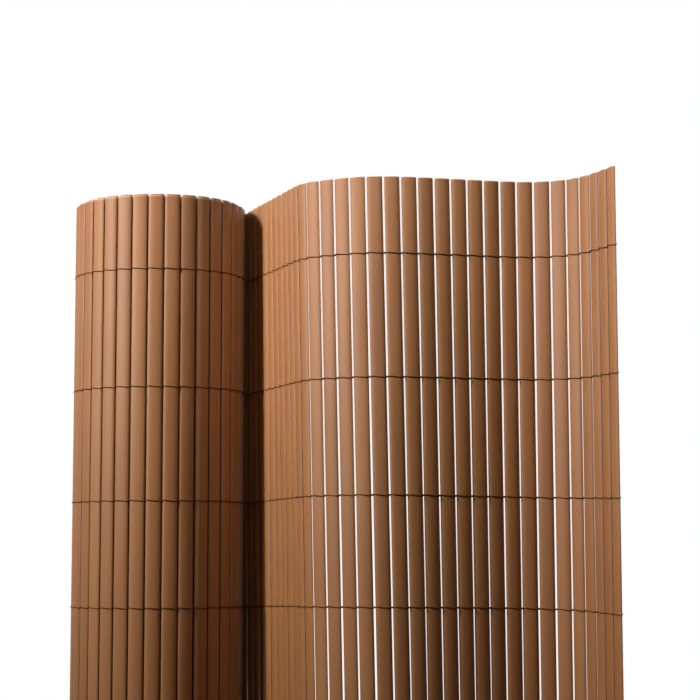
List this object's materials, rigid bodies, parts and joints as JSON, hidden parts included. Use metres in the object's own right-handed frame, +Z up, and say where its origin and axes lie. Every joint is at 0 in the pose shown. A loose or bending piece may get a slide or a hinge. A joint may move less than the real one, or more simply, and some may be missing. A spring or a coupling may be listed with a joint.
{
  "type": "pvc privacy screen",
  "caption": "Privacy screen of upright hollow plastic slats bound by rows of thread, standing on end with part of its length still rolled up and the rest opened in an S-shaped sheet.",
  "frame": {"origin": "middle of the plan's extents, on the floor that the slats stand on", "axes": "+X to the right along the open sheet, from the roll to the free end; +Y away from the sheet's visible face; +Z up along the slats"},
  "size_m": [0.4928, 0.3094, 0.7525],
  "materials": {
    "pvc": "satin extruded PVC, brown",
    "thread": "thin twisted thread, dark brown"
  },
  "bodies": {
    "root": {"sheet_slat_01": "pvc", "sheet_slat_02": "pvc", "sheet_slat_03": "pvc", "sheet_slat_04": "pvc", "sheet_slat_05": "pvc", "sheet_slat_06": "pvc", "sheet_slat_07": "pvc", "sheet_slat_08": "pvc", "sheet_slat_09": "pvc", "sheet_slat_10": "pvc", "sheet_slat_11": "pvc", "sheet_slat_12": "pvc", "sheet_slat_13": "pvc", "sheet_slat_14": "pvc", "sheet_slat_15": "pvc", "sheet_slat_16": "pvc", "sheet_slat_17": "pvc", "sheet_slat_18": "pvc", "sheet_slat_19": "pvc", "sheet_slat_20": "pvc", "sheet_slat_21": "pvc", "sheet_slat_22": "pvc", "sheet_slat_23": "pvc", "sheet_slat_24": "pvc", "sheet_slat_25": "pvc", "sheet_slat_26": "pvc", "sheet_slat_27": "pvc", "sheet_slat_28": "pvc", "sheet_slat_29": "pvc", "sheet_slat_30": "pvc", "sheet_slat_31": "pvc", "sheet_slat_32": "pvc", "sheet_slat_33": "pvc", "roll_turn_1": "pvc", "roll_turn_2": "pvc", "roll_turn_3": "pvc", "roll_turn_4": "pvc", "binding_thread_1": "thread", "binding_thread_2": "thread", "binding_thread_3": "thread", "binding_thread_4": "thread", "binding_thread_5": "thread", "binding_thread_6": "thread", "binding_thread_7": "thread"}
  },
  "joints": []
}
